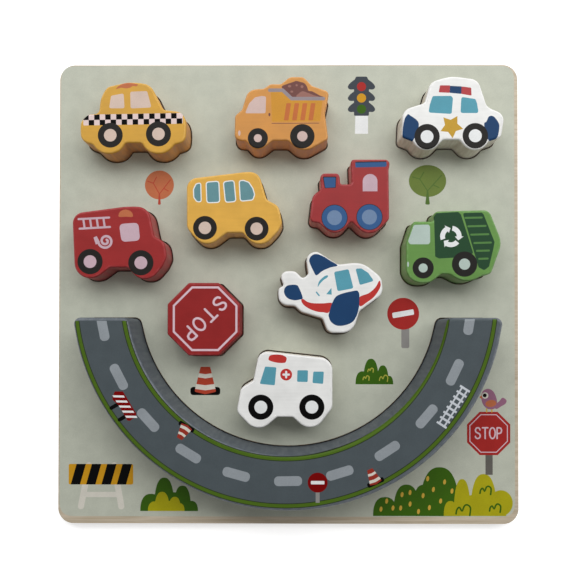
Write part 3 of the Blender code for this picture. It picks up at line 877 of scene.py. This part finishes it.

# The aeroplane block. Sprayed white, with navy wings and tail, a red belly and
# teal windows printed on the face. Its sides are a streaky brown, darker than the sides of the white blocks.
plane_side = streaky_cut("streaky brown sawn sides", "#AA9080", "#84685A")
belly_ink = screen_ink("bright red", "#B2322E")
plane_prints = [
    (belly_ink, flowing([(-18, -4.2), (-16.5, -4.5), (-14.4, -5.9), (-10.8, -6.8), (-4.6, -6.9), (1.1, -6.9),
        (-1, -12.5), (-4.6, -12.5), (-7.7, -12.2), (-11.9, -10.9), (-16, -8.5), (-18, -6)])),
    (belly_ink, flowing([(18.1, -3.1), (23.9, -0.5), (28, 3.1), (30.5, 7.3), (31.3, 4.4), (30, 1.1),
        (26.9, -3.1), (22.8, -6.2), (18.4, -8.7)])),
    (navy_ink, flowing([(-13.3, 19.9), (-12.1, 22.6), (-9.1, 23.9), (-5, 22.7), (-0.3, 19.9), (4.4, 16.8),
        (-0.3, 15.4), (-5, 13.3), (-8.8, 10.6), (-10.7, 13.4), (-12.4, 17)])),
    (navy_ink, flowing([(-29, 0.9), (-28, 3.3), (-25.7, 4.5), (-21.1, 4.5), (-19.2, 1.9), (-17.3, -3.5),
        (-19, -4.5), (-22.6, -5), (-26.5, -3.8), (-28.4, -1.6)])),
    (navy_ink, flowing([(4.7, -1.8), (15.1, 1), (17.4, 0.3), (18.1, -2.6), (17.6, -10.3), (15.1, -17),
        (10.9, -20), (4.7, -20.9), (0.5, -18.6), (-1.1, -15), (-0.7, -12.4), (1.1, -6.7)])),
    (teal_ink, rounded([(2.2, 12.7), (11.3, 14.5), (14.4, 2.5), (4.4, 0.6)], 1.3)),
    (teal_ink, rounded([(15.6, 14.8), (19.3, 14.9), (23.6, 12.1), (27.1, 7.1), (18.3, 4.5)], 1.1)),
    (teal_ink, flowing([(-7.9, 3.4), (-7.3, 6.4), (-5.5, 8.6), (-3.2, 10.3), (-1.6, 10.5), (-1.9, 9.3),
        (-4.2, 7.7), (-6.3, 5.6)])),
    (teal_ink, stroke([(-8.7, 0), (-7.1, -2)], 0.9)), (teal_ink, [(-2.6, -1.2), (0.8, -1.5), (0.6, 2.8)])]
painted_block("aeroplane", white_face, plane_side, plane_prints)

# The ambulance block. Sprayed white, with a red lamp, teal windows and a plain
# red first-aid disc with a white plus.
ambulance_prints = [
    (belly_ink, flowing([(-10.2, 19.7), (-8.6, 21.8), (-2.7, 22), (0.8, 20.4), (0.8, 18.1), (-0.4, 16.9),
        (-5, 17), (-9.5, 18.3)])),
    (teal_ink, rounded([(-12.3, 14.6), (-5.3, 14.1), (-6.3, 2.9), (-15.7, 3.8)], 0.8)),
    (teal_ink, rounded([(7.8, 12.3), (14.4, 12.3), (14.2, 5), (7.6, 5.1)], 0.8)),
    (teal_ink, rounded([(17.7, 11.5), (24.3, 11.5), (23.8, 3.8), (17.2, 4.4)], 0.8)),
    (belly_ink, disc(0.8, 9.6, 3.7)), (white_ink, stroke([(-0.9, 9.6), (2.5, 9.6)], 1.3)),
    (white_ink, stroke([(0.8, 7.9), (0.8, 11.3)], 1.3))]
ambulance_prints += wheels(black_ink, white_ink, (-15, -10.7, 7.85, 4), (16.8, -10.6, 7.85, 4))
painted_block("ambulance", white_face, white_side, ambulance_prints)

# The road rocker. A half ring sawn from a 30 mm board, its rims rounded over and
# sprayed grey. The road, its verge lines, lane marks and signs are printed. Stood
# on its round side it is the rocker that the blocks are balanced on.
ROCKER_RIM = 2.0
ROAD_CENTRE = Vector((-1.4, -2.9))
LANE_RADIUS = 112.35
ROAD_STEPS = 120
LANE_STEPS = 60
# The rocker's lighter rim colour is partly wear and partly a painted highlight on its rounded rims.
rocker_face, rocker_side = block_paints("road grey", "#4F565C", "#8A8F95", "#4D545A", "#5C6266")
road_ink = screen_ink("asphalt", "#464E52", 0.48)
verge_ink = screen_ink("verge green", "#425D13")
lane_ink = screen_ink("lane mark", "#888E93")
hazard_ink = screen_ink("dark red", "#710707", gloss=0.04)
brick_ink = screen_ink("brick red", "#8A2C1F")
fence_ink = screen_ink("pale grey", "#BCC1C7")
line_ink = screen_ink("green black", "#232C18")


def road_arc(radius, start, end, steps):
    """Points along the road, in mm in the tray's frame: the angles are in degrees."""
    return [ROAD_CENTRE + Vector((math.cos(a), math.sin(a))) * radius
            for a in (math.radians(start + (end - start) * k / steps) for k in range(steps + 1))]


def road_band(inner, outer, start=-190, end=10):
    """A band of the road between two radii."""
    return road_arc(outer, start, end, ROAD_STEPS) + road_arc(inner, start, end, ROAD_STEPS)[::-1]


rocker_loops, rocker_centre = cad_outlines("road_rocker")
rocker_levels = [corner[2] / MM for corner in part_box("road_rocker")]
road_prints = [
    (road_ink, road_band(97.5, 128.4)), (line_ink, road_band(97.5, 100.5)), (verge_ink, road_band(98, 100)),
    (line_ink, road_band(125.8, 128.8)), (verge_ink, road_band(126.3, 128.3))]
for start, end, marks in ((-170.0, -8.0, 2), (-153.8, -24.5, 9)):
    lane = road_arc(LANE_RADIUS, start, end, LANE_STEPS)
    road_prints += row_of_marks(lane_ink, lane, marks, width=16.9, height=5.9, corner=2.6)
# The road stops short of the rocker's ends, where the lighter grey paint shows: partly unprinted paint,
# partly a painted highlight on the rounded ends.
road_prints += [
    (rocker_face, oblong(-133, -18.6, -85, 2)), (rocker_face, oblong(85, -17.4, 133, 2))]
hazard_feet = [(-106.7, -71.3), (-102.6, -69)], [(-101.7, -78.4), (-98, -76.2)]
hazard_board = [
    (-106.1, -64.5), (-104.6, -61.3), (-99.7, -61.3), (-91.6, -74.6), (-91.9, -76.5), (-95.3, -79),
    (-96.9, -78.9), (-102.2, -69.7), (-105.9, -66.4)]
hazard_stripes = [(-102.3, -64.3), (-94.6, -76.6)]
road_prints += [(black_ink, stroke(foot, 2.3)) for foot in hazard_feet]
road_prints += [(hazard_ink, rounded(hazard_board, 0.5))]
road_prints += row_of_marks(white_ink, hazard_stripes, marks=5, width=1.45, height=5.7, lean=3.7)
road_prints += cone(brick_ink, -60.4, -81.3, 9.9, turn=149)
road_prints += no_entry(hazard_ink, 18.1, -116.1, 6, oblong(16.9, -128.2, 19.3, -118))
road_prints += cone(brick_ink, 53.7, -117.3, 10.2, turn=24.3)
FENCE = Vector((92.9, -81.2)), Vector((106.9, -59.4))
fence_side = (FENCE[1] - FENCE[0]).normalized().orthogonal()
for offset in (-1.8, 1.8):
    road_prints += [(fence_ink, stroke([end + fence_side * offset for end in FENCE], 1.0))]
road_prints += row_of_marks(fence_ink, FENCE, marks=8, width=1.3, height=7.0, corner=0.3)
road_prints = [(ink, [Vector(point) - rocker_centre for point in shape]) for ink, shape in road_prints]
rocker_finishes = (rocker_face, rocker_side, rocker_side, rocker_side)
road_rocker = printed_solid("road_rocker_printed", rocker_loops, rocker_centre, rocker_levels, ROCKER_RIM,
                            rocker_finishes, road_prints)
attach(road_rocker, "rocker")
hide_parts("road_rocker")

# The studio. A plain pale table top, one broad soft light from above and behind
# the tray, a little light from all round, and the camera close over the tray.
FLOOR_HALF = 1.5
FLOOR_GLOW = 0.5
ROOM_LIGHT = 0.31


def seen_straight(tree):
    """One for rays that reach the eye straight, by a gloss or through glass, and zero for the rest."""
    rays = add_node(tree, "ShaderNodeLightPath").outputs
    seen = add_node(tree, "ShaderNodeMath", {
        0: rays["Is Camera Ray"], 1: rays["Is Glossy Ray"]}, operation="MAXIMUM")
    return add_node(tree, "ShaderNodeMath", {0: seen, 1: rays["Is Transmission Ray"]}, operation="MAXIMUM")


floor_mesh = bpy.data.meshes.new("floor")
floor_corners = oblong(-FLOOR_HALF, -FLOOR_HALF, FLOOR_HALF, FLOOR_HALF)
floor_mesh.from_pydata([(x, y, 0) for x, y in floor_corners], [], [(0, 1, 2, 3)])
floor = bpy.data.objects.new("floor", floor_mesh)
bpy.context.scene.collection.objects.link(floor)
floor_finish, floor_tree, floor_shader, _ = finish(
    "pale table top", Roughness=0.8, Base_Color=linear("#F4F4F4"), Emission_Color=(1, 1, 1, 1))
lift = add_node(floor_tree, "ShaderNodeMath", {
    0: seen_straight(floor_tree), 1: FLOOR_GLOW}, operation="MULTIPLY")
feed(floor_tree, floor_shader.inputs["Emission Strength"], lift)
floor_mesh.materials.append(floor_finish)

world = bpy.data.worlds.new("studio")
bpy.context.scene.world = world
world.use_nodes = True
backdrop = world.node_tree.nodes["Background"].inputs
backdrop["Color"].default_value = (1, 1, 1, 1)
level = add_node(world.node_tree, "ShaderNodeMapRange", {
    "Value": seen_straight(world.node_tree), "To Min": ROOM_LIGHT, "To Max": 1.0})
feed(world.node_tree, backdrop["Strength"], level)

softbox = bpy.data.lights.new("softbox", "AREA")
softbox.shape = "RECTANGLE"
softbox.size = 2.6
softbox.size_y = 0.6
softbox.energy = 17.9
softbox_holder = bpy.data.objects.new("softbox", softbox)
softbox_holder.location = (0.12, 0.64, 0.76)
softbox_holder.rotation_euler = (-softbox_holder.location).to_track_quat("-Z", "Y").to_euler()
bpy.context.scene.collection.objects.link(softbox_holder)

camera = bpy.data.cameras.new("camera")
camera.sensor_width = 36
camera.lens = 33.31
camera.shift_x = -0.0055
camera.shift_y = 0.0754
camera.clip_start = 0.01
camera_holder = bpy.data.objects.new("camera", camera)
camera_holder.location = (0.003, -0.027, 0.355)
camera_holder.rotation_euler = [math.radians(angle) for angle in (0.436, 0.225, 0.053)]
bpy.context.scene.collection.objects.link(camera_holder)
bpy.context.scene.camera = camera_holder
bpy.context.scene.view_settings.view_transform = "Standard"
